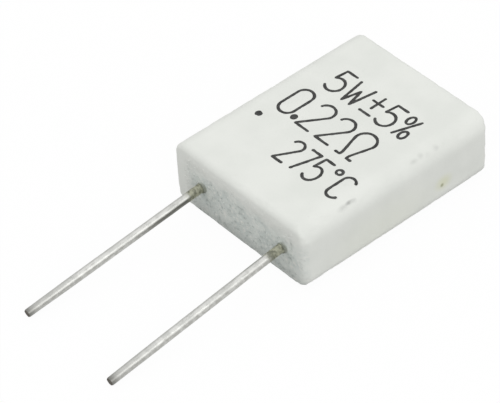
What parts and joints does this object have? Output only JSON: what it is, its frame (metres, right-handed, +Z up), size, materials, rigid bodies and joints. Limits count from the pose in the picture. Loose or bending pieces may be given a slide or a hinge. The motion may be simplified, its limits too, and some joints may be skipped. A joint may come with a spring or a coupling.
{
  "type": "radial power resistor",
  "caption": "Flat white ceramic-cased power resistor, filled with grey cement round a zigzag alloy plate, with tinned wire leads that leave one end side by side",
  "frame": {"origin": "centre of the case's back face, on the surface that the part lies on", "axes": "+Z up out of the printed face, +Y from the open lead end to the closed end, so the leads run along -Y, and +X across the two leads"},
  "size_m": [0.014, 0.0335, 0.0055],
  "materials": {
    "white_ceramic": "smooth unglazed off-white",
    "grey_cement": "matt, finely speckled",
    "resistance_alloy": "rolled sheet",
    "tinned_wire": "satin, dull at the roots"
  },
  "bodies": {
    "root": {"ceramic_case": "white_ceramic", "cement_fill": "grey_cement", "resistance_plate": "resistance_alloy", "lead_left": "tinned_wire", "lead_right": "tinned_wire"}
  },
  "joints": []
}
